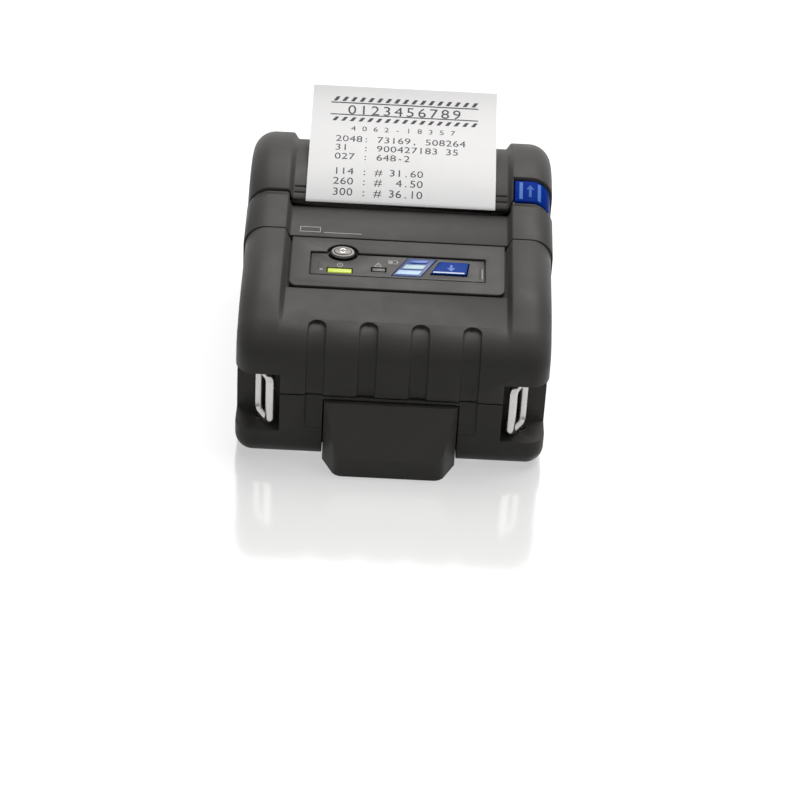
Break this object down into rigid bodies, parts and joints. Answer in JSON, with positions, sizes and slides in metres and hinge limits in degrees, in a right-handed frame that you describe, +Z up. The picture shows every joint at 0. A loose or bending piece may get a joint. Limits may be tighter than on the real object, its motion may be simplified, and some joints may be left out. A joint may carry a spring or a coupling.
{
  "type": "mobile receipt printer",
  "caption": "Belt-worn receipt printer with a hinged roll cover, push lever, control panel, strap rings, slide-in battery pack and a printed receipt.",
  "frame": {"origin": "on the flat underside of the lower case, on the centre line, 52 mm behind the front face", "axes": "+X to the right, -Y towards the front face with the battery nose, +Z up"},
  "size_m": [0.0898, 0.1113, 0.0705],
  "materials": {
    "case_plastic": "fine moulded texture",
    "panel_plastic": "satin",
    "lever_blue": "gloss",
    "feed_blue": "gloss",
    "button_dark": "metallic gloss",
    "lamp_green": "lit lens",
    "lamp_dark": "unlit lens",
    "gauge_blue": "lit lens",
    "bright_steel": "satin",
    "screw_steel": "dark plated",
    "frame_steel": "zinc plated",
    "spring_steel": "drawn wire",
    "sink_aluminium": "extruded",
    "head_ceramic": "glazed",
    "brass": "turned",
    "gear_white": "moulded",
    "rubber_black": "ground",
    "board_green": "solder mask",
    "paper": "smooth coated",
    "card": "board",
    "cell_wrap": "shrink film"
  },
  "bodies": {
    "root": {"lower_case": "case_plastic", "front_case": "case_plastic", "head_cover": "case_plastic", "panel_plate": "case_plastic", "panel_overlay": "panel_plastic", "tear_bar": "bright_steel", "power_lamp": "lamp_green", "error_lamp": "lamp_dark", "battery_gauge": "gauge_blue", "panel_board": "board_green", "power_switch": "bright_steel", "feed_switch": "bright_steel", "main_board": "board_green", "battery_contact": "gear_white", "case_screw_1": "screw_steel", "case_screw_2": "screw_steel", "case_screw_3": "screw_steel", "case_screw_4": "screw_steel", "charge_jack": "panel_plastic", "serial_port": "bright_steel", "flap_pin": "bright_steel", "mech_frame": "frame_steel", "stepper_motor": "frame_steel", "latch_spring": "spring_steel", "head_spring_left": "spring_steel", "head_spring_right": "spring_steel", "roll_bucket": "panel_plastic", "paper_web": "paper", "paper_sensor": "panel_plastic", "hinge_pin": "bright_steel"},
    "cover": {"cover_shell": "case_plastic", "platen_holder": "panel_plastic", "platen_bush_left": "brass", "platen_bush_right": "brass", "receipt_strip": "paper"},
    "platen": {"platen_roller": "rubber_black", "platen_shaft": "bright_steel", "platen_gear": "gear_white"},
    "reduction": {"reduction_gear": "gear_white"},
    "motor": {"motor_pinion": "brass"},
    "roll": {"paper_roll": "paper", "roll_core": "card"},
    "lever": {"release_lever": "lever_blue"},
    "latch": {"latch_bar": "frame_steel"},
    "head": {"head_heatsink": "sink_aluminium", "head_ceramic": "head_ceramic"},
    "ring_left": {"strap_ring_left": "bright_steel"},
    "ring_right": {"strap_ring_right": "bright_steel"},
    "power_key": {"power_button": "button_dark"},
    "feed_key": {"feed_button": "feed_blue"},
    "battery": {"battery_case": "case_plastic", "battery_lid": "case_plastic", "battery_cell_1": "cell_wrap", "battery_cell_2": "cell_wrap"},
    "flap": {"interface_flap": "rubber_black"}
  },
  "joints": [
    {"name": "cover_hinge", "type": "hinge", "parent": "root", "child": "cover", "pos_m": [0, 0.0492, 0.0303], "axis": [-1, 0, 0], "range_deg": [0, 90]},
    {"name": "platen_spin", "type": "hinge", "parent": "cover", "child": "platen", "pos_m": [0, 0.0063, 0.0445], "axis": [1, 0, 0], "continuous": true},
    {"name": "reduction_spin", "type": "hinge", "parent": "root", "child": "reduction", "pos_m": [0, 0.0012, 0.0377], "axis": [1, 0, 0], "continuous": true},
    {"name": "motor_spin", "type": "hinge", "parent": "root", "child": "motor", "pos_m": [0, -0.00912, 0.03158], "axis": [1, 0, 0], "continuous": true},
    {"name": "roll_spin", "type": "hinge", "parent": "root", "child": "roll", "pos_m": [0, 0.0215, 0.0248], "axis": [1, 0, 0], "continuous": true},
    {"name": "lever_press", "type": "slide", "parent": "cover", "child": "lever", "axis": [0, 0, -1], "range_m": [0, 0.0015]},
    {"name": "latch_turn", "type": "hinge", "parent": "root", "child": "latch", "pos_m": [0, -0.0015, 0.037], "axis": [1, 0, 0], "range_deg": [0, 7], "stiffness_Nm_per_rad": 0.05},
    {"name": "head_pivot", "type": "hinge", "parent": "root", "child": "head", "pos_m": [0, -0.0013, 0.0396], "axis": [1, 0, 0], "range_deg": [0, 2], "stiffness_Nm_per_rad": 0.5},
    {"name": "ring_left_swing", "type": "hinge", "parent": "root", "child": "ring_left", "pos_m": [-0.0375, -0.0442, 0.0195], "axis": [0, 0, -1], "range_deg": [0, 100]},
    {"name": "ring_right_swing", "type": "hinge", "parent": "root", "child": "ring_right", "pos_m": [0.0375, -0.0442, 0.0195], "axis": [0, 0, 1], "range_deg": [0, 100]},
    {"name": "power_press", "type": "slide", "parent": "root", "child": "power_key", "axis": [0, 0.2079, -0.9781], "range_m": [0, 0.0008], "stiffness_N_per_m": 400},
    {"name": "feed_press", "type": "slide", "parent": "root", "child": "feed_key", "axis": [0, 0.2079, -0.9781], "range_m": [0, 0.0008], "stiffness_N_per_m": 400},
    {"name": "battery_slide", "type": "slide", "parent": "root", "child": "battery", "axis": [0, -1, 0], "range_m": [0, 0.055]},
    {"name": "flap_hinge", "type": "hinge", "parent": "root", "child": "flap", "pos_m": [-0.0432, -0.024, 0.0117], "axis": [0, -1, 0], "range_deg": [0, 90]}
  ],
  "couplings": [
    {"joint": "platen_spin", "follows": "roll_spin", "ratio": 4.2045},
    {"joint": "reduction_spin", "follows": "roll_spin", "ratio": -6.0065},
    {"joint": "motor_spin", "follows": "roll_spin", "ratio": 18.019},
    {"joint": "lever_press", "follows": "latch_turn", "m_per_rad": 0.01227}
  ]
}
